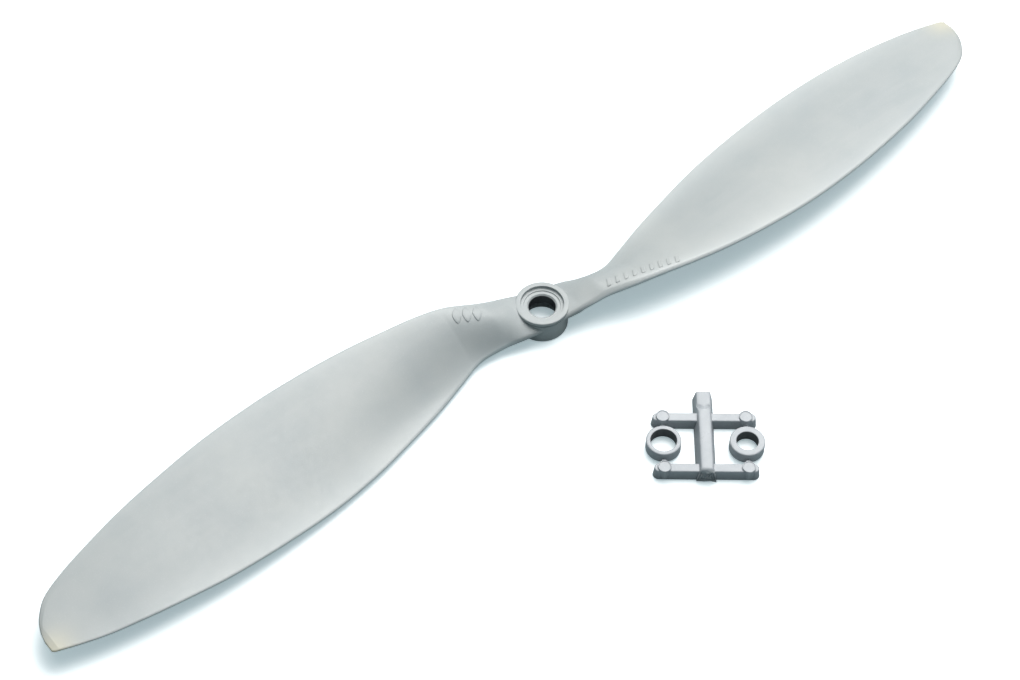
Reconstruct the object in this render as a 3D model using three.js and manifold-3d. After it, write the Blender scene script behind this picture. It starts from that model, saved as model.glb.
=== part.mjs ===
// An 11 x 3.8 in slow-fly propeller, lying front face up, with the sprue of adapter rings
// that comes with it. Millimetres, +Z up. The origin is on the bore's axis at the hub's rear
// face, and the blades' tips lie on the X axis.
import * as THREE from 'three';
import * as BufferGeometryUtils from 'three/addons/utils/BufferGeometryUtils.js';
import Module from 'manifold-3d';

// Propeller
const DIAMETER = 279.4;
const TIP_RADIUS = DIAMETER / 2;
const HUB_RADIUS = 6.35;
const BOSS_RADIUS = 6.2;
const HUB_HEIGHT = 6.9;
const RIM_DEPTH = 0.9;
const EDGE_BREAK = 0.25;
const BORE_RADIUS = 3.175;
const BORE_CHAMFER = 0.35;
const RECESS_RADIUS = 5.1;
const RECESS_DEPTH = 0.8;
const STEP_RADIUS = 4.1;
const STEP_DEPTH = 0.25;
const COUNTERBORE_RADIUS = 4.15;
const COUNTERBORE_DEPTH = 3.1;
const JOIN_GAP = 0.3;
const HUB_SEGMENTS = 72;

// Each blade station: radius, leading edge y, trailing edge y, mid-chord height,
// twist in degrees, greatest thickness, edge thickness.
const BLADE_STATIONS = [
  [4, -6.6, 4.8, 4.8, 11, 2.8, 1.8],
  [7, -7.3, 4.2, 5, 15.5, 3.2, 1.8],
  [9.5, -7.9, 3.4, 5.1, 20.5, 3.8, 2],
  [13, -8.8, 2.1, 5.2, 31, 4.4, 2.2],
  [20, -11.5, 1.4, 5.8, 33.5, 4.2, 1.9],
  [27, -13.4, 3.4, 5.8, 28.7, 3.8, 1.7],
  [35, -15.1, 5.9, 5.6, 22.6, 3.5, 1.6],
  [45, -16.8, 8.4, 5.5, 18, 3.2, 1.4],
  [57, -18, 11, 5.4, 14.6, 3, 1.2],
  [70, -18.5, 12.7, 5.4, 12.1, 2.7, 1.1],
  [85, -17.8, 13.4, 5.8, 9.5, 2.4, 1],
  [99, -16.1, 13.1, 6, 7.4, 2.1, 1],
  [110, -14.2, 12, 6.2, 5.9, 1.9, 0.9],
  [120, -11.8, 10.5, 6.2, 4.8, 1.6, 0.9],
  [128, -9.5, 8.9, 6.1, 4, 1.3, 0.8],
  [134, -6.9, 7.2, 6.1, 3.3, 1.1, 0.8],
  [137.5, -3.4, 6, 6.1, 3, 1, 0.8],
  [139.1, -0.3, 5.4, 6.1, 3, 0.9, 0.8],
  [TIP_RADIUS, 2.4, 4.8, 6.1, 3, 0.85, 0.8],
];
// Below 1, this sets the fullest place of a section forward of the middle of its chord.
const FULLNESS = 0.8;
const CAMBER = 0.03;
const CAMBER_FADE_RADIUS = 30;
const SECTIONS_PER_SPAN = 3;
const POINTS_AROUND = 32;

// Adapter rings and their sprue, in the sprue's own frame: u along the cross bars, v along
// the runner, turned about Z where it lies.
const SPRUE_PLACE = new THREE.Vector3(5, -51.6, 0);
const SPRUE_TURN = THREE.MathUtils.degToRad(-40);
const RUNNER_NEAR = -9.2;
const RUNNER_FAR = 14;
const RUNNER_HEIGHT = 4.2;
const RUNNER_END_SLOPE = 1;
const RUNNER_TOP_HALF = 1.4;
const RUNNER_FOOT_HALF = 2.3;
const TAIL_FROM = 10;
const TAIL_RAMP = 1.8;
const TAIL_HEIGHT = 3.2;
const BAR_V = 6.95;
const BAR_REACH = 12.1;
const BAR_HEIGHT = 2.9;
const BAR_TOP_HALF = 1.1;
const BAR_FOOT_HALF = 1.4;
const BAR_END_STEPS = 12;
const PAD_U = 9.5;
const PAD_RADIUS = 1.55;
const PAD_DRAFT = 0.1;
const PAD_HEIGHT = 3.4;
const PAD_SEGMENTS = 28;
const GATE_WIDTH = 1.2;
const GATE_FLOOR = 1;
const GATE_HEIGHT = 0.9;
const RING_RADIUS = 4.05;
const RING_HEIGHT = 3;
const RING_FLOOR = 0.3;
const RING_V = 0.2;
const RING_BORES = { ring_6mm: 3, ring_5mm: 2.5 };
const RING_CHAMFER = 0.2;
const RING_SEGMENTS = 56;

const wasm = await Module();
wasm.setup();

// A closed three.js geometry as a solid that can be joined and cut.
function toSolid(geometry) {
  const bare = geometry.index ? geometry.toNonIndexed() : geometry.clone();
  bare.deleteAttribute('normal');
  bare.deleteAttribute('uv');
  const merged = BufferGeometryUtils.mergeVertices(bare, 1e-5);
  return new wasm.Manifold(new wasm.Mesh({
    numProp: 3,
    vertProperties: new Float32Array(merged.attributes.position.array),
    triVerts: new Uint32Array(merged.index.array),
  }));
}

// A solid's surface as a three.js geometry.
function toGeometry(solid) {
  const mesh = solid.getMesh();
  const geometry = new THREE.BufferGeometry();
  geometry.setAttribute('position', new THREE.BufferAttribute(mesh.vertProperties, 3));
  geometry.setIndex(new THREE.BufferAttribute(mesh.triVerts, 1));
  return geometry;
}

// A round piece turned from an outline of radius and height pairs.
function turned(outline, segments) {
  const closed = [...outline, outline[0]];
  const points = closed.map(([radius, height]) => new THREE.Vector2(radius, height));
  return new THREE.LatheGeometry(points, segments).rotateX(Math.PI / 2);
}

// An upright extrusion of a flat outline, from the floor up to a height.
function upright(outline, height) {
  const shape = new THREE.Shape(outline.map(([x, y]) => new THREE.Vector2(x, y)));
  return new THREE.ExtrudeGeometry(shape, { depth: height, bevelEnabled: false });
}

// A Catmull-Rom value of one station column at a radius.
function stationValue(column, radius) {
  const last = BLADE_STATIONS.length - 1;
  const found = BLADE_STATIONS.findIndex((station) => station[0] >= radius);
  const next = Math.max(1, found < 0 ? last : found);
  const at = (index) => BLADE_STATIONS[THREE.MathUtils.clamp(index, 0, last)];
  const [before, start, end, after] = [at(next - 2), at(next - 1), at(next), at(next + 1)];
  const span = end[0] - start[0];
  const slope = (a, b) => (b === a ? 0 : (b[column] - a[column]) / (b[0] - a[0]));
  const startSlope = slope(before, end) * span;
  const endSlope = slope(start, after) * span;
  const t = (radius - start[0]) / span;
  const cubed = t ** 3;
  const squared = t ** 2;
  return (2 * cubed - 3 * squared + 1) * start[column]
    + (cubed - 2 * squared + t) * startSlope
    + (3 * squared - 2 * cubed) * end[column]
    + (cubed - squared) * endSlope;
}

// One aerofoil section: round nose, blunt round tail, thickest near 40% of the chord.
function bladeSection(radius) {
  const columns = [1, 2, 3, 4, 5, 6].map((column) => stationValue(column, radius));
  const [lead, trail, middle, twist, thickness, edge] = columns;
  const fall = Math.tan(THREE.MathUtils.degToRad(twist));
  const nose = new THREE.Vector2(lead, middle + (fall * (trail - lead)) / 2);
  const chord = new THREE.Vector2(trail, middle - (fall * (trail - lead)) / 2).sub(nose);
  const length = chord.length();
  const normal = new THREE.Vector2(-chord.y, chord.x).divideScalar(length);
  const round = edge / 2 / length;
  const camber = CAMBER * length * Math.min(1, radius / CAMBER_FADE_RADIUS);
  const points = [];
  for (let i = 0; i < POINTS_AROUND; i += 1) {
    const angle = (2 * Math.PI * i) / POINTS_AROUND;
    const s = (1 - Math.cos(angle)) / 2;
    const inset = Math.max(0, 1 - Math.min(s, 1 - s) / round);
    const body = edge + (thickness - edge) * Math.sin(Math.PI * s ** FULLNESS);
    const half = (body / 2) * Math.sqrt(1 - inset ** 2);
    const offset = 4 * camber * s * (1 - s) + Math.sign(Math.sin(angle)) * half;
    const flat = nose.clone().addScaledVector(chord, s).addScaledVector(normal, offset);
    points.push(new THREE.Vector3(radius, flat.x, flat.y));
  }
  return points;
}

// A blade: the sections skinned from inside the hub to the tip, closed at both ends.
function bladeGeometry() {
  const sections = [];
  for (let i = 1; i < BLADE_STATIONS.length; i += 1) {
    const [start, end] = [BLADE_STATIONS[i - 1][0], BLADE_STATIONS[i][0]];
    for (let k = 0; k < SECTIONS_PER_SPAN; k += 1) {
      sections.push(bladeSection(start + ((end - start) * k) / SECTIONS_PER_SPAN));
    }
  }
  sections.push(bladeSection(TIP_RADIUS));
  const middleOf = (points) => points.reduce((sum, point) => sum.add(point), new THREE.Vector3())
    .divideScalar(points.length);
  const corners = sections.flat();
  const root = corners.push(middleOf(sections[0])) - 1;
  const tip = corners.push(middleOf(sections.at(-1))) - 1;
  const index = [];
  for (let i = 0; i < POINTS_AROUND; i += 1) {
    const j = (i + 1) % POINTS_AROUND;
    const lastRow = (sections.length - 1) * POINTS_AROUND;
    index.push(root, i, j, tip, lastRow + j, lastRow + i);
    for (let row = 0; row < lastRow; row += POINTS_AROUND) {
      const [a, b, c, d] = [row + i, row + j, row + POINTS_AROUND + j, row + POINTS_AROUND + i];
      index.push(a, d, c, a, c, b);
    }
  }
  const geometry = new THREE.BufferGeometry().setFromPoints(corners);
  return geometry.setIndex(index);
}

// A blade as moulded, ending just short of the hub's boss and rim.
function trimmedBlade() {
  const room = HUB_RADIUS + JOIN_GAP;
  const hubRoom = new THREE.CylinderGeometry(room, room, 4 * HUB_HEIGHT, HUB_SEGMENTS);
  hubRoom.rotateX(Math.PI / 2);
  return toGeometry(toSolid(bladeGeometry()).subtract(toSolid(hubRoom)));
}

// The hub: rim with its front recess, bore, and rear counterbore for an adapter ring.
function hubGeometry() {
  const recessFloor = HUB_HEIGHT - RECESS_DEPTH;
  const stepFloor = recessFloor - STEP_DEPTH;
  return turned([
    [BOSS_RADIUS - EDGE_BREAK, 0],
    [BOSS_RADIUS, EDGE_BREAK],
    [BOSS_RADIUS, HUB_HEIGHT - RIM_DEPTH],
    [HUB_RADIUS, HUB_HEIGHT - RIM_DEPTH + EDGE_BREAK],
    [HUB_RADIUS, HUB_HEIGHT - EDGE_BREAK],
    [HUB_RADIUS - EDGE_BREAK, HUB_HEIGHT],
    [RECESS_RADIUS, HUB_HEIGHT],
    [RECESS_RADIUS, recessFloor],
    [STEP_RADIUS, recessFloor],
    [STEP_RADIUS, stepFloor],
    [BORE_RADIUS + BORE_CHAMFER, stepFloor],
    [BORE_RADIUS, stepFloor - BORE_CHAMFER],
    [BORE_RADIUS, COUNTERBORE_DEPTH],
    [COUNTERBORE_RADIUS, COUNTERBORE_DEPTH],
    [COUNTERBORE_RADIUS, 0],
  ], HUB_SEGMENTS);
}

// The sprue's runner: a tapered bar with a lower tail beyond the far cross bar.
function runnerGeometry() {
  const side = [
    [RUNNER_NEAR, 0],
    [RUNNER_FAR, 0],
    [RUNNER_FAR - EDGE_BREAK, TAIL_HEIGHT],
    [TAIL_FROM, TAIL_HEIGHT],
    [TAIL_FROM - TAIL_RAMP, RUNNER_HEIGHT],
    [RUNNER_NEAR + RUNNER_END_SLOPE, RUNNER_HEIGHT],
  ];
  const slab = upright(side, 2 * RUNNER_FOOT_HALF);
  slab.translate(0, 0, -RUNNER_FOOT_HALF).rotateX(Math.PI / 2).rotateZ(Math.PI / 2);
  const wedge = upright([
    [-RUNNER_FOOT_HALF, 0],
    [RUNNER_FOOT_HALF, 0],
    [RUNNER_TOP_HALF, RUNNER_HEIGHT],
    [-RUNNER_TOP_HALF, RUNNER_HEIGHT],
  ], RUNNER_FAR - RUNNER_NEAR);
  wedge.rotateX(Math.PI / 2).translate(0, RUNNER_FAR, 0);
  return toSolid(slab).intersect(toSolid(wedge));
}

// A round-ended strip of a cross bar's plan, from the middle of the sprue outwards.
function barOutline(half) {
  const outline = [[0, -half]];
  for (let i = 0; i <= BAR_END_STEPS; i += 1) {
    const angle = -Math.PI / 2 + (Math.PI * i) / BAR_END_STEPS;
    const centre = BAR_REACH - BAR_FOOT_HALF;
    outline.push([centre + half * Math.cos(angle), half * Math.sin(angle)]);
  }
  outline.push([0, half]);
  return outline;
}

// A bar with draft on its sides: its foot's outline joined to its smaller top outline.
function draftedBar() {
  const foot = barOutline(BAR_FOOT_HALF);
  const top = barOutline(BAR_TOP_HALF);
  const count = foot.length;
  const corners = [...foot.map(([x, y]) => [x, y, 0]), ...top.map(([x, y]) => [x, y, BAR_HEIGHT])];
  const index = [];
  for (let i = 0; i < count; i += 1) {
    const j = (i + 1) % count;
    index.push(i, j, count + j, i, count + j, count + i);
  }
  for (let i = 1; i < count - 1; i += 1) {
    index.push(0, i + 1, i, count, count + i, count + i + 1);
  }
  const points = corners.map(([x, y, z]) => new THREE.Vector3(x, y, z));
  return new THREE.BufferGeometry().setFromPoints(points).setIndex(index);
}

// One arm of the sprue: half a cross bar with its ejector pad and the gate to its ring.
// Side is +1 or -1 along u, end is +1 for the far bar and -1 for the near one.
function armGeometry(side, end) {
  const bar = draftedBar();
  const padTop = PAD_RADIUS - PAD_DRAFT;
  const pad = new THREE.CylinderGeometry(padTop, PAD_RADIUS, PAD_HEIGHT, PAD_SEGMENTS);
  pad.rotateX(Math.PI / 2).translate(PAD_U, 0, PAD_HEIGHT / 2);
  const gateLength = BAR_V - end * RING_V - RING_RADIUS - JOIN_GAP;
  const gate = new THREE.BoxGeometry(GATE_WIDTH, gateLength, GATE_HEIGHT);
  gate.translate(PAD_U, -gateLength / 2, GATE_FLOOR + GATE_HEIGHT / 2);
  const arm = toSolid(bar).add(toSolid(pad)).add(toSolid(gate));
  const mirrorU = side < 0 ? [-1, 1, 1] : [1, 1, 1];
  const mirrorV = end < 0 ? [1, -1, 1] : [1, 1, 1];
  const placed = arm.scale(mirrorU).scale(mirrorV).translate([0, end * BAR_V, 0]);
  const room = new THREE.BoxGeometry(
    2 * (RUNNER_FOOT_HALF + JOIN_GAP),
    4 * RUNNER_FAR,
    4 * RUNNER_HEIGHT,
  );
  return toGeometry(placed.subtract(toSolid(room)));
}

// An adapter ring, lightly chamfered at both ends of its outside.
function ringGeometry(bore) {
  return turned([
    [bore, 0],
    [RING_RADIUS - RING_CHAMFER, 0],
    [RING_RADIUS, RING_CHAMFER],
    [RING_RADIUS, RING_HEIGHT - RING_CHAMFER],
    [RING_RADIUS - RING_CHAMFER, RING_HEIGHT],
    [bore, RING_HEIGHT],
  ], RING_SEGMENTS);
}

const propellerNylon = () => new THREE.MeshStandardMaterial({
  color: 0xb9bfc1,
  roughness: 0.42,
  metalness: 0,
});
const sprueNylon = () => new THREE.MeshStandardMaterial({
  color: 0xaab2bb,
  roughness: 0.35,
  metalness: 0,
});

function named(name, geometry, material) {
  const mesh = new THREE.Mesh(geometry, material);
  mesh.name = name;
  return mesh;
}

const group = new THREE.Group();

const propeller = new THREE.Group();
propeller.add(named('hub', hubGeometry(), propellerNylon()));
for (const [name, turn] of [['blade_1', 0], ['blade_2', Math.PI]]) {
  const blade = named(name, trimmedBlade(), propellerNylon());
  blade.rotation.z = turn;
  propeller.add(blade);
}
group.add(propeller);

const sprue = new THREE.Group();
sprue.position.copy(SPRUE_PLACE);
sprue.rotation.z = SPRUE_TURN;
sprue.add(named('sprue_runner', toGeometry(runnerGeometry()), sprueNylon()));
for (const [endName, end] of [['far', 1], ['near', -1]]) {
  for (const [sideName, side] of [['left', -1], ['right', 1]]) {
    sprue.add(named(`sprue_arm_${endName}_${sideName}`, armGeometry(side, end), sprueNylon()));
  }
}
for (const [name, side] of [['ring_6mm', -1], ['ring_5mm', 1]]) {
  const ring = named(name, ringGeometry(RING_BORES[name]), sprueNylon());
  ring.position.set(side * PAD_U, RING_V, RING_FLOOR);
  sprue.add(ring);
}
group.add(sprue);

export default group;
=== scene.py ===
import math

import bmesh
import bpy
import numpy as np
from mathutils import Matrix, Vector


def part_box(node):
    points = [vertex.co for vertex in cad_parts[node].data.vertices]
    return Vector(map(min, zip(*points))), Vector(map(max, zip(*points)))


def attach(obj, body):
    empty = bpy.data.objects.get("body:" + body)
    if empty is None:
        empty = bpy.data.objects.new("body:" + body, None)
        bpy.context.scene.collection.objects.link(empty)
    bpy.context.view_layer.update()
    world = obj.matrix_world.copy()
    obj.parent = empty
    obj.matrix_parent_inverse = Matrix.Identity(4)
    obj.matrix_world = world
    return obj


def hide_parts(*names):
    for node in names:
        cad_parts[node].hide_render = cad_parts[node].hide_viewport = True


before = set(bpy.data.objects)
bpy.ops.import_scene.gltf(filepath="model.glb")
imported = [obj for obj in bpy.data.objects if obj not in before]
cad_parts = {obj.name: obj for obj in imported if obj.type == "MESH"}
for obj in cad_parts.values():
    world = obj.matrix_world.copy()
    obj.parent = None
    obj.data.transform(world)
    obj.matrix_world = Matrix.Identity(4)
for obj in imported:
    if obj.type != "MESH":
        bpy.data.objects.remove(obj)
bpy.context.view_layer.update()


# --- Camera, white table and lights ---------------------------------------------------------
# The propeller lies on a plain white table, seen from above its front face at a slant. A soft
# light hangs over and a little behind it under a pale ceiling, and a bluish room fills the rest.

CAMERA_AT = Vector((-0.2304, -0.2597, 0.4552))
CAMERA_LOOKS_AT = Vector((-0.0094, 0.0004, 0.0))
CAMERA_ROLL = math.radians(0.79)
CAMERA_LENS = 85.4


def face_point(thing, place, target, roll=0.0):
    """Put a camera or light at a place, aim its -Z axis at a target, and roll it about that."""
    aim = (target - place).to_track_quat("-Z", "Y").to_matrix().to_4x4()
    thing.matrix_world = Matrix.Translation(place) @ aim @ Matrix.Rotation(roll, 4, "Z")


camera_data = bpy.data.cameras.new("camera")
camera_data.lens = CAMERA_LENS
camera_data.clip_start = 0.01
camera = bpy.data.objects.new("camera", camera_data)
bpy.context.scene.collection.objects.link(camera)
face_point(camera, CAMERA_AT, CAMERA_LOOKS_AT, CAMERA_ROLL)
bpy.context.scene.camera = camera
bpy.context.scene.view_settings.view_transform = "Standard"


SOFTBOX_AT = Vector((0.26, 0.13, 0.62))
SOFTBOX_POWER = 4.5
SOFTBOX_SIZE = 0.5
CEILING_STRENGTH = 1.35
CEILING_SPREAD = math.radians(70.0)
ROOM_STRENGTH = 0.2


def soft_light(name, kind, energy):
    """A warm white light of a kind, hung at the softbox's place and aimed at the hub."""
    data = bpy.data.lights.new(name, kind)
    data.energy = energy
    data.color = (1.0, 0.985, 0.97)
    light = bpy.data.objects.new(name, data)
    bpy.context.scene.collection.objects.link(light)
    face_point(light, SOFTBOX_AT, Vector((0.0, 0.0, 0.0)))
    return data


soft_light("overhead_softbox", "AREA", SOFTBOX_POWER).size = SOFTBOX_SIZE
soft_light("diffused_ceiling", "SUN", CEILING_STRENGTH).angle = CEILING_SPREAD

room = bpy.data.worlds.new("pale_room")
room.use_nodes = True
room_background = room.node_tree.nodes["Background"]
room_background.inputs["Color"].default_value = (0.72, 0.92, 1.0, 1.0)
room_background.inputs["Strength"].default_value = ROOM_STRENGTH
bpy.context.scene.world = room


def table_material():
    """White lit table: full white where it is looked at, and a duller bounce on the object."""
    material = bpy.data.materials.new("white_table")
    material.use_nodes = True
    tree = material.node_tree
    paper = tree.nodes["Principled BSDF"]
    paper.inputs["Roughness"].default_value = 0.9
    paper.inputs["Specular IOR Level"].default_value = 0.1
    paper.inputs["Emission Strength"].default_value = 1.0
    path = tree.nodes.new("ShaderNodeLightPath")
    for socket, bounced, looked_at in (
        ("Base Color", (0.28, 0.34, 0.36, 1.0), (0.97, 0.97, 0.97, 1.0)),
        ("Emission Color", (0.0, 0.0, 0.0, 1.0), (0.30, 0.37, 0.39, 1.0)),
    ):
        tone = tree.nodes.new("ShaderNodeMix")
        tone.data_type = "RGBA"
        tone.inputs[6].default_value = bounced
        tone.inputs[7].default_value = looked_at
        tree.links.new(path.outputs["Is Camera Ray"], tone.inputs[0])
        tree.links.new(tone.outputs[2], paper.inputs[socket])
    return material


TABLE_HALF = 8.0
TABLE_DROP = 0.00003
TABLE_CORNERS = ((-1, -1), (1, -1), (1, 1), (-1, 1))
table_mesh = bpy.data.meshes.new("white_table")
table_points = [(x * TABLE_HALF, y * TABLE_HALF, -TABLE_DROP) for x, y in TABLE_CORNERS]
table_mesh.from_pydata(table_points, [], [(0, 1, 2, 3)])
table_mesh.materials.append(table_material())
table = bpy.data.objects.new("white_table", table_mesh)
bpy.context.scene.collection.objects.link(table)


# --- The propeller moulding: hub and two blades in one ----------------------------------------
# Light grey glass-filled nylon, injection moulded in one shot. The hub is a short boss with a
# wider rim, a washer recess, a 1/4 in bore and a rear counterbore. The blades leave it low at
# their trailing edges and high at their leading edges, and flatten out towards the tips.

MM = 0.001
TIP_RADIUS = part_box("blade_1")[1].x / MM
HUB_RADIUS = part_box("hub")[1].x / MM
HUB_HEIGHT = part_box("hub")[1].z / MM


def add_piece(name, points, faces, material, sharp=35.0):
    """A mesh object from an array of points in mm and a list of faces, smooth up to an angle."""
    mesh = bpy.data.meshes.new(name)
    mesh.from_pydata((np.asarray(points) * MM).tolist(), [], faces)
    mesh.materials.append(material)
    mesh.validate()
    piece = bpy.data.objects.new(name, mesh)
    bpy.context.scene.collection.objects.link(piece)
    smooth_up_to(piece, sharp)
    return piece


def smooth_up_to(piece, sharp):
    """Smooth shading, with an edge kept sharp where its faces turn by more than an angle."""
    mesh = piece.data
    mesh.polygons.foreach_set("use_smooth", np.ones(len(mesh.polygons), bool))
    mesh.set_sharp_from_angle(angle=math.radians(sharp))
    mesh.update()


def flat_faces_flat(piece):
    """Weight the shading by face area, so that a wide flat face beside a small round stays flat."""
    weight = piece.modifiers.new("flat faces flat", "WEIGHTED_NORMAL")
    weight.keep_sharp = True


def lattice_faces(rows, columns, wrap_rows=False):
    """Quads between neighbours of a rows by columns lattice whose columns close on themselves."""
    i = np.arange(rows if wrap_rows else rows - 1)[:, None]
    j = np.arange(columns)[None, :]
    i_next = (i + 1) % rows
    j_next = (j + 1) % columns
    corners = [i * columns + j, i_next * columns + j, i_next * columns + j_next, i * columns + j_next]
    return np.stack(corners, -1).reshape(-1, 4).tolist()


def skinned(rings):
    """Points and faces of a closed skin through rings of points, each end closed by a fan."""
    rows, columns, _ = rings.shape
    points = np.vstack([rings.reshape(-1, 3), rings[0].mean(0), rings[-1].mean(0)])
    j = np.arange(columns)
    j_next = (j + 1) % columns
    start = np.stack([j, j_next, np.full(columns, rows * columns)], -1)
    last = (rows - 1) * columns
    end = np.stack([last + j_next, last + j, np.full(columns, rows * columns + 1)], -1)
    return points, lattice_faces(rows, columns) + start.tolist() + end.tolist()


def rounded_outline(corners, steps=5):
    """A closed outline with each corner (a, b, r) cut back by r and bridged by a parabola arc."""
    corners = np.asarray(corners, float)
    here = corners[:, :2]
    to_before = np.roll(here, 1, 0) - here
    to_after = np.roll(here, -1, 0) - here
    to_before /= np.linalg.norm(to_before, axis=1, keepdims=True)
    to_after /= np.linalg.norm(to_after, axis=1, keepdims=True)
    cut = corners[:, 2:]
    start = here + to_before * cut
    end = here + to_after * cut
    t = np.linspace(0, 1, steps)[None, :, None]
    arcs = (1 - t) ** 2 * start[:, None] + 2 * t * (1 - t) * here[:, None] + t**2 * end[:, None]
    return arcs.reshape(-1, 2)


def turned(outline, segments):
    """A closed outline of radius and height carried round Z: (r cos a, r sin a, z)."""
    angle = np.linspace(0, 2 * math.pi, segments, endpoint=False)[:, None]
    radius = outline[None, :, 0]
    height = np.broadcast_to(outline[None, :, 1], (segments, len(outline)))
    rings = np.stack([radius * np.cos(angle), radius * np.sin(angle), height], -1)
    return rings.reshape(-1, 3), lattice_faces(segments, len(outline), wrap_rows=True)


# Each blade station: radius, leading edge y, trailing edge y, mid-chord height, twist in
# degrees, greatest thickness, tail thickness.
BLADE_STATIONS = np.array([
    (0.0, -5.9, 5.4, 4.5, 6.0, 2.6, 1.6),
    (2.5, -6.2, 5.2, 4.7, 8.0, 2.7, 1.6),
    (4.5, -6.7, 4.8, 4.9, 11.0, 2.9, 1.6),
    (7.0, -7.3, 4.2, 5.1, 15.5, 3.2, 1.7),
    (9.5, -7.9, 3.4, 5.2, 20.5, 3.7, 1.8),
    (13.0, -8.8, 2.1, 5.3, 30.0, 4.2, 1.9),
    (20.0, -11.5, 1.4, 5.8, 33.5, 4.2, 1.9),
    (27.0, -13.4, 3.4, 5.8, 28.7, 3.8, 1.9),
    (35.0, -15.1, 5.9, 5.6, 22.6, 3.5, 1.8),
    (45.0, -16.8, 8.4, 5.5, 18.0, 3.2, 1.5),
    (57.0, -18.0, 11.0, 5.4, 14.6, 3.0, 1.2),
    (70.0, -18.48, 12.7, 5.4, 12.1, 2.7, 1.1),
    (85.0, -17.8, 13.4, 5.8, 9.5, 2.4, 1.0),
    (99.0, -16.1, 13.1, 6.0, 7.4, 2.1, 1.0),
    (110.0, -14.2, 12.0, 6.2, 5.9, 1.9, 0.9),
    (120.0, -11.8, 10.5, 6.2, 4.8, 1.6, 0.9),
    (128.0, -9.5, 8.9, 6.1, 4.0, 1.3, 0.8),
    (134.0, -6.9, 7.2, 6.1, 3.3, 1.1, 0.8),
    (137.5, -3.4, 6.0, 6.1, 3.0, 1.0, 0.8),
    (139.1, -0.3, 5.4, 6.1, 3.0, 0.9, 0.8),
    (TIP_RADIUS, 2.4, 4.8, 6.1, 3.0, 0.85, 0.8),
])
NOSE_AT_ROOT = 1.1
NOSE_AT_TIP = 0.8
FULLNESS = 0.8
CAMBER = 0.012
# The section is arched beside the hub; past the shoulder its tail flares flat.
ROOT_ARCH = 0.08
ROOT_ARCH_ENDS = 22.0
ROOT_ARCH_FADE = 10.0
FLARE_AT = 36.0
FLARE_SPREAD = 20.0
FLARE_MOST = 0.30
FLARE_LEAST = 0.16
ROOT_FILLET = 2.4
# The front face is bevelled along the leading edge and round the tip, more so outwards.
EDGE_BEVEL = 1.5
EDGE_BEVEL_FALL = 0.35
EDGE_BEVEL_FROM = 128.0
TIP_ROUND = 0.3
# Rings along a blade, closer together at both ends: start, stop and count. The last span runs
# from there to the tip.
BLADE_SPANS = ((0, 40, 100), (40, 128, 88), (128, 138, 40))
TIP_RINGS = 26
SECTION_POINTS = 112


def station_columns(radius):
    """Each station column at each radius, by cubic Hermite spans with central slopes."""
    known = BLADE_STATIONS[:, 0]
    values = BLADE_STATIONS[:, 1:]
    before = np.maximum(np.arange(len(known)) - 1, 0)
    after = np.minimum(np.arange(len(known)) + 1, len(known) - 1)
    slopes = (values[after] - values[before]) / (known[after] - known[before])[:, None]
    i = np.clip(np.searchsorted(known, radius), 1, len(known) - 1)
    span = known[i] - known[i - 1]
    t = ((radius - known[i - 1]) / span)[:, None]
    start = (2 * t**3 - 3 * t**2 + 1) * values[i - 1]
    start_slope = (t**3 - 2 * t**2 + t) * slopes[i - 1] * span[:, None]
    end = (3 * t**2 - 2 * t**3) * values[i]
    end_slope = (t**3 - t**2) * slopes[i] * span[:, None]
    return (start + start_slope + end + end_slope).T


def blade_section(radius, s):
    """At radius along X and chord fraction s, the parts of a section that both faces share.

    They are the edges, the chord's length, fall and normal, and the full thickness, which is
    sine shaped between round edges: e + (t - e) sin(pi s^f), with e from nose to tail.
    """
    radius, s = np.broadcast_arrays(radius, s)
    columns = station_columns(radius.ravel()).reshape((6,) + radius.shape)
    lead, trail, middle, twist, thickness, tail = columns
    fall = np.tan(np.radians(twist)) * (trail - lead)
    length = np.hypot(trail - lead, fall)
    nose = np.interp(radius, [0, TIP_RADIUS], [NOSE_AT_ROOT, NOSE_AT_TIP])
    edge = nose + (tail - nose) * s
    round_off = np.clip(1 - np.minimum(s, 1 - s) * length / (edge / 2), 0, 1)
    tip_off = np.clip(1 - (TIP_RADIUS - radius) / TIP_ROUND, 0, 0.98)
    body = edge + np.maximum(thickness - edge, 0) * np.sin(math.pi * s**FULLNESS)
    return lead, trail, middle, fall, length, body * np.sqrt((1 - round_off**2) * (1 - tip_off**2))


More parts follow.
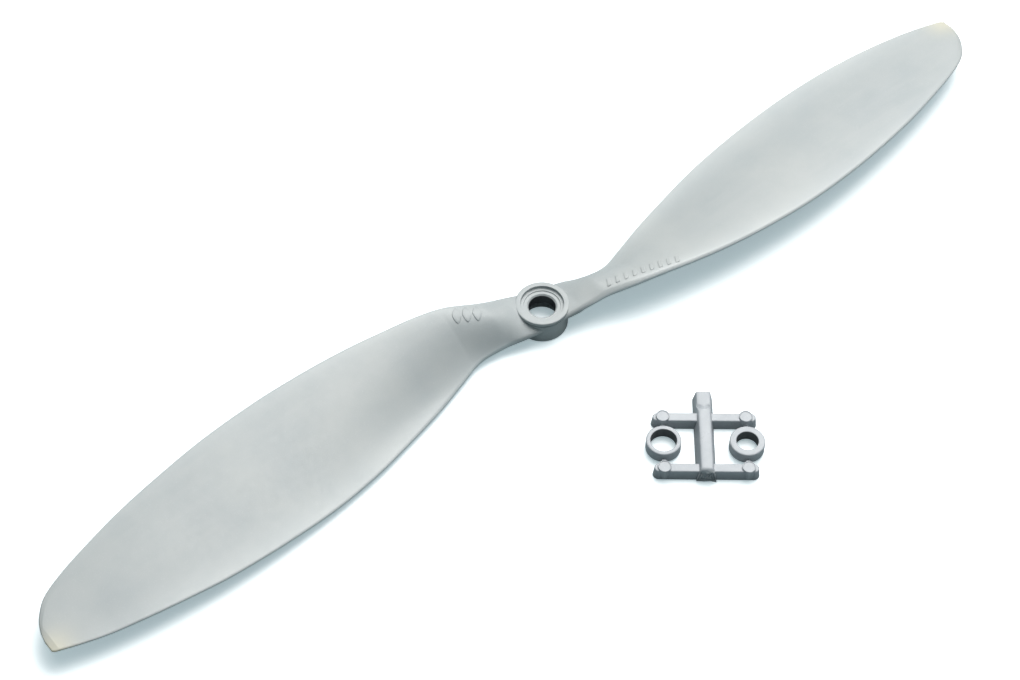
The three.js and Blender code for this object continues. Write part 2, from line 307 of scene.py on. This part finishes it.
def blade_surface(radius, s, side, lift=0.0):
    """Points on a blade at radius along X and chord fraction s, broadcast together.

    Each is nose + s * chord + normal * (camber - flare + side * half thickness + lift), where
    camber = 4 c s (1 - s) and flare = k s^4 (1 - s), both in chord lengths. Side is +1 on the
    front face and -1 behind, where a fillet F - sqrt(F^2 - (F - d)^2) at a distance d from
    the hub thickens the root. The bevel is a fall of k (1 - d / reach) at a distance d from
    the leading edge or the tip.
    """
    radius, s, side = np.broadcast_arrays(radius, s, side)
    lead, trail, middle, fall, length, thickness = blade_section(radius, s)
    normal_y = fall / length
    normal_z = (trail - lead) / length
    camber = CAMBER + ROOT_ARCH * np.clip((ROOT_ARCH_ENDS - radius) / ROOT_ARCH_FADE, 0, 1)
    flare = FLARE_LEAST + FLARE_MOST * np.exp(-(((radius - FLARE_AT) / FLARE_SPREAD) ** 2))
    flare = flare * np.clip((radius - HUB_RADIUS) / (FLARE_AT - HUB_RADIUS), 0, 1)
    spine = length * (4 * camber * s * (1 - s) - flare * s**4 * (1 - s))
    spine *= np.clip((radius - HUB_RADIUS) / HUB_RADIUS, 0, 1)
    inward = np.clip(ROOT_FILLET - np.maximum(radius - HUB_RADIUS, 0), 0, ROOT_FILLET)
    fillet = (ROOT_FILLET - np.sqrt(ROOT_FILLET**2 - inward**2)) * np.sin(math.pi * s)
    from_edge = np.minimum(s * length, TIP_RADIUS - radius)
    bevel = EDGE_BEVEL_FALL * np.clip(1 - from_edge / EDGE_BEVEL, 0, 1)
    bevel *= np.clip((radius - EDGE_BEVEL_FROM) / (TIP_RADIUS - EDGE_BEVEL_FROM), 0, 1)
    offset = spine + side * thickness / 2 + lift - np.where(side > 0, bevel, fillet)
    y = lead + s * (trail - lead) + normal_y * offset
    z = middle + fall / 2 - s * fall + normal_z * offset
    return np.stack([radius, y, z], -1)


def half_turned(points):
    """The same points turned by 180 degrees about the bore."""
    return points * np.array([-1.0, -1.0, 1.0])


def blade_rings():
    """Section rings from inside the boss to the tip, closer together at both ends."""
    spans = [np.linspace(start, stop, count, endpoint=False) for start, stop, count in BLADE_SPANS]
    spans.append(np.linspace(BLADE_SPANS[-1][1], TIP_RADIUS, TIP_RINGS))
    radius = np.concatenate(spans)[:, None]
    angle = np.linspace(0, 2 * math.pi, SECTION_POINTS, endpoint=False)[None, :]
    s = (1 - np.cos(angle)) / 2
    return blade_surface(radius, s, np.sign(np.sin(angle)))


# The tones laid over the nylon's body, in order: name, noise scale, detail, stretch and
# coarseness, the noise values where the tone starts and is full, and its greatest share.
EVEN = (1.0, 1.0, 1.0)
ALONG_THE_BLADE = (0.12, 1.0, 1.0)
NOISE_TONES = (
    ("cloud", 45.0, 4.0, EVEN, 0.55, 0.35, 0.68, 1.0),
    ("streak", 260.0, 3.0, ALONG_THE_BLADE, 0.55, 0.5, 0.8, 0.5),
    ("fleck", 3600.0, 2.0, EVEN, 0.7, 0.6, 0.74, 0.4),
)
# The tones that a mesh carries as point attributes, and their greatest shares: painted glow with torn white,
# warm painted glow, painted shade.
CARRIED_TONES = (("edge_glow_and_torn_white", 0.75), ("warm", 0.8), ("painted_shade", 1.0))


def moulded_nylon(name, tones, roughness, grain_depth):
    """Satin glass-filled nylon: clouded grey with pale glass flecks, and a painted glow where it thins.

    A mesh may carry point attributes from 0 to 1: a painted glow where a blade tapers to an edge, and on the
    sprue the torn white of its broken end; a warm painted glow at a tip corner; and painted shade on inner
    walls and low on the sprue.
    """
    material = bpy.data.materials.new(name)
    material.use_nodes = True
    tree = material.node_tree
    nodes, links = tree.nodes, tree.links
    nylon = nodes["Principled BSDF"]
    nylon.inputs["IOR"].default_value = 1.5
    nylon.inputs["Specular IOR Level"].default_value = 0.38
    nylon.inputs["Subsurface Weight"].default_value = 0.1
    nylon.inputs["Subsurface Radius"].default_value = (0.001, 0.001, 0.0009)
    nylon.inputs["Subsurface Scale"].default_value = 1.0
    place = nodes.new("ShaderNodeTexCoord")

    def noise(scale, detail, stretch=EVEN, coarseness=0.55):
        """Noise on the piece's own coordinates, about 0.3 to 0.7."""
        flow = nodes.new("ShaderNodeMapping")
        flow.inputs["Scale"].default_value = stretch
        links.new(place.outputs["Object"], flow.inputs["Vector"])
        texture = nodes.new("ShaderNodeTexNoise")
        texture.inputs["Scale"].default_value = scale
        texture.inputs["Detail"].default_value = detail
        texture.inputs["Roughness"].default_value = coarseness
        links.new(flow.outputs["Vector"], texture.inputs["Vector"])
        return texture.outputs["Fac"]

    def ranged(value, low, high, to_low, to_high):
        """A value carried linearly from one range to another, and held at its ends."""
        ramp = nodes.new("ShaderNodeMapRange")
        ramp.inputs["From Min"].default_value = low
        ramp.inputs["From Max"].default_value = high
        ramp.inputs["To Min"].default_value = to_low
        ramp.inputs["To Max"].default_value = to_high
        links.new(value, ramp.inputs["Value"])
        return ramp.outputs["Result"]

    def carried(attribute):
        """A point attribute of the mesh, 0 where the mesh has none."""
        reader = nodes.new("ShaderNodeAttribute")
        reader.attribute_name = attribute
        return reader.outputs["Fac"]

    def tinted(colour, share, other):
        """A colour with a share of another laid over it."""
        mix = nodes.new("ShaderNodeMix")
        mix.data_type = "RGBA"
        links.new(share, mix.inputs[0])
        links.new(colour, mix.inputs[6])
        mix.inputs[7].default_value = (*other, 1.0)
        return mix.outputs[2]

    ground = nodes.new("ShaderNodeRGB")
    ground.outputs[0].default_value = (*tones["body"], 1.0)
    colour = ground.outputs[0]
    for tone, scale, detail, stretch, coarseness, starts, full, most in NOISE_TONES:
        share = ranged(noise(scale, detail, stretch, coarseness), starts, full, 0.0, most)
        colour = tinted(colour, share, tones[tone])
    for tone, most in CARRIED_TONES:
        colour = tinted(colour, ranged(carried(tone), 0.0, 1.0, 0.0, most), tones[tone])
    links.new(colour, nylon.inputs["Base Color"])
    gloss_patches = ranged(noise(800.0, 3.0), 0.3, 0.7, roughness - 0.06, roughness + 0.07)
    links.new(gloss_patches, nylon.inputs["Roughness"])
    grain = nodes.new("ShaderNodeBump")
    grain.inputs["Strength"].default_value = 0.4
    grain.inputs["Distance"].default_value = grain_depth
    links.new(noise(2400.0, 4.0, coarseness=0.65), grain.inputs["Height"])
    links.new(grain.outputs["Normal"], nylon.inputs["Normal"])
    return material


propeller_nylon = moulded_nylon(
    "propeller_nylon",
    {
        "body": (0.385, 0.416, 0.422),
        "cloud": (0.45, 0.472, 0.466),
        "streak": (0.455, 0.475, 0.472),
        "fleck": (0.56, 0.58, 0.58),
        # Painted light and shade: a glow where the blade tapers, a warm glow at a tip corner, shade in the
        # bore.
        "edge_glow_and_torn_white": (0.76, 0.8, 0.8),
        "warm": (0.62, 0.59, 0.47),
        "painted_shade": (0.05, 0.055, 0.06),
    },
    roughness=0.4,
    grain_depth=0.00002,
)

# Hub outline: radius, height and corner rounding, anticlockwise from the rear edge.
RIM_DEPTH = 0.9
BOSS_RADIUS = 6.2
NECK_RADIUS = 5.8
NECK_HEIGHT = 0.55
RECESS_RADIUS = 5.1
RECESS_FLOOR = HUB_HEIGHT - 0.8
STEP_RADIUS = 4.35
STEP_FLOOR = RECESS_FLOOR - 0.25
BORE_RADIUS = 3.175
BORE_CHAMFER = 0.4
COUNTERBORE_RADIUS = 4.15
COUNTERBORE_DEPTH = 3.1
HUB_OUTSIDE = [
    (BOSS_RADIUS, 0.0, 0.3),
    (BOSS_RADIUS, HUB_HEIGHT - RIM_DEPTH - NECK_HEIGHT, 0.12),
    (NECK_RADIUS, HUB_HEIGHT - RIM_DEPTH - 0.7 * NECK_HEIGHT, 0.1),
    (NECK_RADIUS, HUB_HEIGHT - RIM_DEPTH, 0.1),
    (HUB_RADIUS, HUB_HEIGHT - RIM_DEPTH, 0.15),
    (HUB_RADIUS, HUB_HEIGHT, 0.28),
]
HUB_INSIDE = [
    (RECESS_RADIUS, HUB_HEIGHT, 0.12),
    (RECESS_RADIUS, RECESS_FLOOR, 0.12),
    (STEP_RADIUS, RECESS_FLOOR, 0.08),
    (STEP_RADIUS, STEP_FLOOR, 0.08),
    (BORE_RADIUS + BORE_CHAMFER, STEP_FLOOR, 0.06),
    (BORE_RADIUS, STEP_FLOOR - BORE_CHAMFER, 0.1),
    (BORE_RADIUS, COUNTERBORE_DEPTH, 0.12),
    (COUNTERBORE_RADIUS, COUNTERBORE_DEPTH, 0.1),
    (COUNTERBORE_RADIUS, 0.0, 0.15),
]
HUB_SEGMENTS = 180
HUB_CLEARANCE = 8.0
SLIVER = 0.0000002
BLADE_ROOM_RADIUS = 5.6
PROPELLER_SHARP = 32.0


def bored(piece, *cutters, operation="DIFFERENCE"):
    """Apply a boolean with each cutter in turn, clean out slivers, then drop the cutters."""
    for cutter in cutters:
        step = piece.modifiers.new("cut", "BOOLEAN")
        step.operation = operation
        step.solver = "MANIFOLD"
        step.object = cutter
    bpy.context.view_layer.update()
    graph = bpy.context.evaluated_depsgraph_get()
    finished = bpy.data.meshes.new_from_object(piece.evaluated_get(graph))
    skin = bmesh.new()
    skin.from_mesh(finished)
    bmesh.ops.remove_doubles(skin, verts=skin.verts, dist=SLIVER)
    bmesh.ops.dissolve_degenerate(skin, edges=skin.edges, dist=SLIVER)
    skin.to_mesh(finished)
    skin.free()
    piece.modifiers.clear()
    piece.data = finished
    for cutter in cutters:
        bpy.data.objects.remove(cutter)
    return piece


def upright_rings(radius):
    """Two rings that stand a plain cylinder on end through the hub: (r cos a, -r sin a, z)."""
    angle = np.linspace(0, 2 * math.pi, HUB_SEGMENTS, endpoint=False)
    height = np.array([-HUB_CLEARANCE, 3 * HUB_CLEARANCE])[:, None]
    ring = np.stack([radius * np.cos(angle), -radius * np.sin(angle)], -1)
    flat = np.broadcast_to(ring, (2, len(angle), 2))
    tall = np.broadcast_to(height, (2, len(angle)))[:, :, None]
    return np.concatenate([flat, tall], -1)


blade_points, blade_faces = skinned(blade_rings())
hub_outline = rounded_outline([*HUB_OUTSIDE, *HUB_INSIDE])
hub = add_piece("hub_and_blades", *turned(hub_outline, HUB_SEGMENTS), propeller_nylon)
blades = []
for name, points in (("far_blade", blade_points), ("near_blade", half_turned(blade_points))):
    blade = add_piece(name, points, blade_faces, propeller_nylon)
    boss_room = add_piece("room", *skinned(upright_rings(BLADE_ROOM_RADIUS)), propeller_nylon)
    blades.append(bored(blade, boss_room))
propeller = bored(hub, *blades, operation="UNION")
smooth_up_to(propeller, PROPELLER_SHARP)
flat_faces_flat(propeller)

# A warm painted glow where light shows through the plastic at a tip corner: its place and reach.
WARM_CORNER = (139.4, 5.0)
WARM_REACH = 4.5
# How far the painted shade in the bore and the rear counterbore reaches.
BORE_SLACK = 0.04
COUNTERBORE_SLACK = 0.05
COUNTERBORE_MOUTH = 0.2


def places_in_mm(piece):
    """A mesh's points as columns x, y, z in mm."""
    corners = np.empty(3 * len(piece.data.vertices))
    piece.data.vertices.foreach_get("co", corners)
    return corners.reshape(-1, 3).T / MM


def store(piece, name, values):
    """Keep one number a point under a name that the material reads."""
    layer = piece.data.attributes.new(name, "FLOAT", "POINT")
    layer.data.foreach_set("value", values.astype(np.float32))


def store_painted_glow_and_shade(piece):
    """Store a painted glow by how far each point's section tapers, a warm glow near a tip corner, and shade
    in the bore.

    The glow is (1 - thickness / greatest thickness)^2, and the warm glow is exp(-(d / reach)^2). The
    painted shade is 1 on the walls of the bore and the rear counterbore, and 0 elsewhere.
    """
    x, y, z = places_in_mm(piece)
    radius = np.clip(np.abs(x), 0, TIP_RADIUS)
    across = y * np.sign(x)
    lead, trail, _, _, greatest, _ = station_columns(radius)
    s = np.clip((across - lead) / (trail - lead), 0, 1)
    thickness = blade_section(radius, s)[5]
    beyond_hub = np.clip((np.hypot(x, y) - HUB_RADIUS) / HUB_RADIUS, 0, 1)
    edge_glow_and_torn_white = np.clip(1 - thickness / greatest, 0, 1) * beyond_hub
    away = np.hypot(radius - WARM_CORNER[0], across - WARM_CORNER[1])
    warm = np.exp(-((away / WARM_REACH) ** 2))
    from_axis = np.hypot(x, y)
    in_bore = from_axis < BORE_RADIUS + BORE_SLACK
    in_counterbore = from_axis < COUNTERBORE_RADIUS + COUNTERBORE_SLACK
    in_counterbore &= (z > COUNTERBORE_MOUTH) & (z < COUNTERBORE_DEPTH + COUNTERBORE_MOUTH)
    # Painted glow at tapering edges and a tip corner, and painted shade on the bore's walls.
    store(piece, "edge_glow_and_torn_white", edge_glow_and_torn_white**2)
    store(piece, "warm", warm)
    store(piece, "painted_shade", in_bore | in_counterbore)


store_painted_glow_and_shade(propeller)
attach(propeller, "propeller")
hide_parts("hub", "blade_1", "blade_2")


# --- Raised marks on the blade roots -----------------------------------------------------------
# Low pads moulded with the blades, cut into the tool: three lozenges near one blade's root and
# a row of short bars near the other's. They stand in for moulded characters and say nothing.

MARK_HEIGHT = 0.2
MARK_SINK = 0.3
MARK_MARGIN = 0.03
MARK_SEARCH_STEPS = 8
# Each ring of a mark: its share of the outline, and its level, -1 sunk and 1 full height.
MARK_LAYERS = np.array([(0.5, -1.0), (1.0, -1.0), (1.0, 0.4), (0.95, 0.85), (0.86, 1.0), (0.4, 1.0)])


def on_blade(x, y, lift):
    """Points on a blade's front face above places x, y, found by correcting s until y agrees."""
    lead, trail = station_columns(x.ravel())[:2].reshape((2,) + x.shape)
    s = (y - lead) / (trail - lead)
    for _ in range(MARK_SEARCH_STEPS):
        s = np.clip(s, MARK_MARGIN, 1 - MARK_MARGIN)
        s = s + (y - blade_surface(x, s, 1.0)[..., 1]) / (trail - lead)
    return blade_surface(x, np.clip(s, MARK_MARGIN, 1 - MARK_MARGIN), 1.0, lift)


def raised_mark(centre, along, across, squareness):
    """One pad: superellipse rings |cos a|^q, |sin a|^q shrinking as they rise from the blade."""
    angle = -np.linspace(0, 2 * math.pi, 40, endpoint=False)[None, :]
    reach = MARK_LAYERS[:, :1]
    level = MARK_LAYERS[:, 1:]
    a = np.sign(np.cos(angle)) * np.abs(np.cos(angle)) ** squareness * reach
    b = np.sign(np.sin(angle)) * np.abs(np.sin(angle)) ** squareness * reach
    x = centre[0] + a * along[0] + b * across[0]
    y = centre[1] + a * along[1] + b * across[1]
    lift = np.broadcast_to(np.where(level < 0, level * MARK_SINK, level * MARK_HEIGHT), x.shape)
    return skinned(on_blade(x, y, lift))


def joined(parts):
    """Several points-and-faces pairs as one, each keeping its own closed skin."""
    points, faces, count = [], [], 0
    for some_points, some_faces in parts:
        points.append(some_points)
        faces += [tuple(corner + count for corner in face) for face in some_faces]
        count += len(some_points)
    return np.vstack(points), faces


# Each shape: half its length, half its width, and the superellipse power.
LOZENGE = ((0.95, -0.55), (1.0, 1.7), 1.4)
SHORT_BAR = ((0.5, -0.13), (0.65, 1.0), 0.3)
LOZENGE_PLACES = [(14.9, -5.9), (17.1, -7.0), (19.3, -8.0)]
lozenges = [raised_mark(place, *LOZENGE) for place in LOZENGE_PLACES]
lozenge_points, lozenge_faces = joined(lozenges)
near_marks = add_piece("near_blade_marks", half_turned(lozenge_points), lozenge_faces, propeller_nylon)

SHORT_BAR_COUNT = 9
short_bar_places = np.linspace((14.8, -6.7), (31.3, -12.2), SHORT_BAR_COUNT)
short_bars = [raised_mark(place, *SHORT_BAR) for place in short_bar_places]
far_marks = add_piece("far_blade_marks", *joined(short_bars), propeller_nylon)
for marks in (near_marks, far_marks):
    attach(marks, "propeller")


# --- The adapter-ring sprue ----------------------------------------------------------------------
# The moulding frame that the rings come on: a tapered runner with a torn-off feed end, two round
# ended cross bars with draft, and four ejector pads, each with a gate towards its ring.


def middle_from_above(node):
    """The middle of a node's box in x and y: (low + high) / 2."""
    low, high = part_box(node)
    return np.array([low[:2], high[:2]]).mean(0)


SPRUE_TURN = math.radians(-40.0)
RING_REACH = 9.5
RING_OFFSET = 0.2
left_ring = middle_from_above("ring_6mm")
right_ring = middle_from_above("ring_5mm")
u_axis = np.array([math.cos(SPRUE_TURN), math.sin(SPRUE_TURN)])
v_axis = np.array([-u_axis[1], u_axis[0]])
sprue_place = (left_ring + right_ring) / 2 / MM - RING_OFFSET * v_axis

RUNNER_NEAR = -9.2
RUNNER_FAR = 14.0
RUNNER_HEIGHT = 4.2
RUNNER_TOP_HALF = 1.4
RUNNER_FOOT_HALF = 2.3
TAIL_FROM = 10.0
TAIL_RAMP = 1.8
TAIL_HEIGHT = 3.2
SCOOP_AT = 9.3
SCOOP_SPREAD = 0.75
SCOOP_DEPTH = 0.75
TAIL_ROUND = 0.25
TORN_LENGTH = 1.2
TORN_ROUGHNESS = 0.2
BREAK_DEPTH = 0.42
BAR_V = 6.95
BAR_REACH = 12.09
BAR_HEIGHT = 2.9
# The bars' feet stand this far above the runner's, so that no two faces share a plane.
BAR_LIFT = 0.05
BAR_TOP_HALF = 1.1
BAR_FOOT_HALF = 1.4
PAD_RADIUS = 1.55
PAD_HEIGHT = 3.4
# Each ring of a pad: its share of the pad's radius, and its drop from the pad's top.
PAD_STEPS = ((1.0, -3.0), (1.0, -0.1), (0.94, 0.0), (0.86, 0.0), (0.8, -0.14), (0.4, -0.14))
GATE_HALF = 0.6
GATE_FLOOR = 1.0
GATE_HEIGHT = 0.9
GATE_GAP = 0.3
GATE_DRAFT = 0.15
GATE_ROUND = 0.15
RING_RADIUS = 4.05
EDGE_ROUND = 0.25
TEAR_FADE = 0.9
# Painted shade in spots on the torn face: their spacing, phase, threshold and strength.
TEAR_PITS = 5.3
PIT_PHASE = 1.1
PIT_EDGE = 0.15
PIT_SHADE = 0.6
# Painted shade low on the sprue, darker towards the table: the height it fades out at, and its strength.
SHADED_FOOT_HEIGHT = 2.6
FOOT_SHADE = 0.4

sprue_nylon = moulded_nylon(
    "sprue_nylon",
    {
        "body": (0.40, 0.425, 0.45),
        "cloud": (0.45, 0.475, 0.50),
        "streak": (0.50, 0.525, 0.545),
        "fleck": (0.62, 0.64, 0.65),
        "edge_glow_and_torn_white": (0.85, 0.85, 0.84),
        "warm": (0.5, 0.5, 0.46),
        # Painted shade on the rings' inner walls, the torn face and low on the sprue.
        "painted_shade": (0.07, 0.07, 0.07),
    },
    roughness=0.33,
    grain_depth=0.00003,
)


def laid_out(points):
    """Points of the sprue's own frame (u along the bars, v along the runner) where it lies."""
    u, v, z = np.moveaxis(points, -1, 0)
    flat = sprue_place + u[..., None] * u_axis + v[..., None] * v_axis
    return np.concatenate([flat, z[..., None]], -1)


def stadium(reach, half, count=24):
    """A round-ended strip from -reach to +reach along u, clockwise from above."""
    angle = np.concatenate([np.linspace(90, -90, count), np.linspace(-90, -270, count)]) * math.pi / 180
    side = np.where(np.arange(2 * count) < count, 1, -1)
    return np.stack([side * (reach - half) + half * np.cos(angle), half * np.sin(angle)], -1)


def drafted(outline_at, height, floor=0.0, edge=EDGE_ROUND):
    """Rings of a block whose outline shrinks with height and rounds over at its top.

    outline_at(t, inset) gives the outline at a share t of the height, drawn in by inset; the
    round is a quarter circle of radius edge.
    """
    turn = np.linspace(0, math.pi / 2, 6)
    levels = [(0.0, 0.0), *((1 - edge / height * (1 - math.sin(a)), edge * (1 - math.cos(a))) for a in turn)]
    rings = [(outline_at(t, inset), floor + t * height) for t, inset in levels]
    return np.stack([np.column_stack([flat, np.full(len(flat), z)]) for flat, z in rings])


def cross_bar(v):
    """A whole cross bar: a stadium narrowing to its top, its foot just clear of the table."""

    def outline_at(t, inset):
        half = BAR_FOOT_HALF + (BAR_TOP_HALF - BAR_FOOT_HALF) * t - inset
        return stadium(BAR_REACH - BAR_FOOT_HALF + half, half) + (0, v)

    return skinned(laid_out(drafted(outline_at, BAR_HEIGHT - BAR_LIFT, BAR_LIFT)))


def ejector_pad(u, v):
    """A round pad with a raised rim and a shallow dished top, as the pin leaves it."""
    angle = -np.linspace(0, 2 * math.pi, 40, endpoint=False)
    circle = np.stack([np.cos(angle), np.sin(angle)], -1)
    rings = [
        np.column_stack([circle * (PAD_RADIUS * share) + (u, v), np.full(len(circle), PAD_HEIGHT + drop)])
        for share, drop in PAD_STEPS
    ]
    return skinned(laid_out(np.stack(rings)))


def gate(u, end):
    """The thin bridge from an ejector pad towards a ring, broken off just short of it."""
    start = end * BAR_V
    stop = RING_OFFSET + end * (RING_RADIUS + GATE_GAP)

    def outline_at(t, inset):
        half = GATE_HALF * (1 - GATE_DRAFT * t) - inset
        corners = np.array([(-half, start), (-half, stop), (half, stop), (half, start)])
        return corners[::-end] + (u, 0)

    return skinned(laid_out(drafted(outline_at, GATE_HEIGHT, GATE_FLOOR, GATE_ROUND)))


def runner():
    """The runner: a tapered section along v, lower in its tail, with a rough broken near end.

    Its top falls along v from full height to the tail's by a smooth ramp, its shoulders are
    scooped at the ramp, and the broken face is a sum of sines over u and z.
    """
    spans = ((RUNNER_NEAR, RUNNER_NEAR + TORN_LENGTH, 14), (-7.5, 7.0, 30), (7.2, 11.5, 44),
             (11.7, RUNNER_FAR - 0.3, 10), (RUNNER_FAR - TAIL_ROUND, RUNNER_FAR, 6))
    v = np.concatenate([np.linspace(*span) for span in spans])[:, None]
    ramp = np.clip((TAIL_FROM - v) / TAIL_RAMP, 0, 1)
    ramp = ramp * ramp * (3 - 2 * ramp)
    height = TAIL_HEIGHT + (RUNNER_HEIGHT - TAIL_HEIGHT) * ramp
    scoop = SCOOP_DEPTH * np.exp(-(((v - SCOOP_AT) / SCOOP_SPREAD) ** 2))
    end_round = np.sqrt(1 - np.clip((v - RUNNER_FAR + TAIL_ROUND) / TAIL_ROUND, 0, 0.98) ** 2)
    near_slope = np.clip((v - RUNNER_NEAR) / TORN_LENGTH, 0, 1)
    height = height * (0.72 + 0.28 * near_slope**0.6) * (0.9 + 0.1 * end_round)
    # Round the section: share of the half width, share of the height, share of the scoop.
    corner = np.array([(-1, 0, 0), (-1, 0.45, 0), (-1, 0.9, 0), (-0.93, 0.975, 1), (-0.8, 1, 1),
                       (-0.3, 1, 0.2), (0, 1, 0), (0.3, 1, 0.2), (0.8, 1, 1), (0.93, 0.975, 1),
                       (1, 0.9, 0), (1, 0.45, 0), (1, 0, 0), (0.3, 0, 0), (-0.3, 0, 0)])
    share, rise, scooped = corner[::-1].T
    half = RUNNER_FOOT_HALF + (RUNNER_TOP_HALF - RUNNER_FOOT_HALF) * rise * (height / RUNNER_HEIGHT)
    u = share * half * (0.94 + 0.06 * end_round)
    z = rise * height - scoop * scooped * rise
    torn = np.clip(1 - (v - RUNNER_NEAR) / TEAR_FADE, 0, 1)
    rough = np.sin(5.1 * u + 2.7 * z) + np.sin(3.3 * z - 6.7 * u + 1.0) + 0.6 * np.sin(9.0 * z + 4.0 * u)
    along = v + TORN_ROUGHNESS * torn * (rough + 2.4)
    body = np.stack([u, along, z], -1)
    shrink = np.linspace(0.85, 0.12, 6)[:, None, None]
    middle = np.array([0.0, 0.0, 0.5]) * height[0]
    face = np.stack([u[0], np.full(len(share), RUNNER_NEAR), z[0]], -1)[None]
    face = middle + (face - middle) * shrink * (1, 0, 1) + (0, RUNNER_NEAR, 0)
    fu, fz = face[..., 0], face[..., 2]
    broken = np.sin(7.3 * fu + 1.7) * np.sin(6.1 * fz + 0.4) + 0.6 * np.sin(11.0 * fu - 8.0 * fz)
    face[..., 1] += BREAK_DEPTH * (broken + 1.6)
    return skinned(laid_out(np.concatenate([face[::-1], body])))


sprue_parts = [runner(), cross_bar(BAR_V), cross_bar(-BAR_V)]
for side in (-1, 1):
    for end in (-1, 1):
        sprue_parts.append(ejector_pad(side * RING_REACH, end * BAR_V))
        sprue_parts.append(gate(side * RING_REACH, end))
sprue = add_piece("sprue_moulding", *joined(sprue_parts), sprue_nylon)
flat_faces_flat(sprue)
x, y, z = places_in_mm(sprue)
along_runner = (x - sprue_place[0]) * v_axis[0] + (y - sprue_place[1]) * v_axis[1]
torn_white = np.clip(1 - (along_runner - RUNNER_NEAR) / TEAR_FADE, 0, 1)
store(sprue, "edge_glow_and_torn_white", torn_white)
across_runner = (x - sprue_place[0]) * u_axis[0] + (y - sprue_place[1]) * u_axis[1]
# Painted shade in spots on the torn face.
pits = torn_white * (np.sin(TEAR_PITS * across_runner + PIT_PHASE) * np.sin(TEAR_PITS * z) > PIT_EDGE)
# Painted shade, darker towards the table, low on the sprue away from the torn face.
foot = np.clip(1 - z / SHADED_FOOT_HEIGHT, 0, 1) * (1 - torn_white)
store(sprue, "painted_shade", np.maximum(FOOT_SHADE * foot, PIT_SHADE * pits))
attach(sprue, "sprue")
sprue_arms = [f"sprue_arm_{end}_{side}" for end in ("far", "near") for side in ("left", "right")]
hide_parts("sprue_runner", *sprue_arms)


# --- The two adapter rings -------------------------------------------------------------------------
# Plain bushes of the sprue's nylon for 6 mm and 5 mm shafts, with softened edges. Each comes off
# its two gates and presses into the counterbore at the back of the hub.

RING_SEGMENTS = 120
# Painted shade on each ring's inner wall: its slack, its stop below the top, and its strength.
RING_WALL_SLACK = 0.05
RING_MOUTH = 0.1
RING_SHADE = 0.8
# Each ring's node, bore radius, body and middle.
RINGS = (("ring_6mm", 3.0, "thin_ring", left_ring), ("ring_5mm", 2.5, "thick_ring", right_ring))
for node, bore, body, centre in RINGS:
    floor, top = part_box(node)[0].z / MM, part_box(node)[1].z / MM
    outline = rounded_outline([
        (bore, floor, 0.12),
        (RING_RADIUS, floor, 0.2),
        (RING_RADIUS, top, 0.38),
        (bore, top, 0.2),
    ], 6)
    ring_points, ring_faces = turned(outline, RING_SEGMENTS)
    ring_points[:, :2] += centre / MM
    ring = add_piece(node.replace("ring_", "adapter_ring_"), ring_points, ring_faces, sprue_nylon)
    flat_faces_flat(ring)
    x, y, z = places_in_mm(ring)
    from_middle = np.hypot(x - centre[0] / MM, y - centre[1] / MM)
    # Painted shade on the ring's inner wall.
    shaded_inner_wall = (from_middle < bore + RING_WALL_SLACK) & (z < top - RING_MOUTH)
    store(ring, "painted_shade", RING_SHADE * shaded_inner_wall)
    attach(ring, body)
    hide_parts(node)
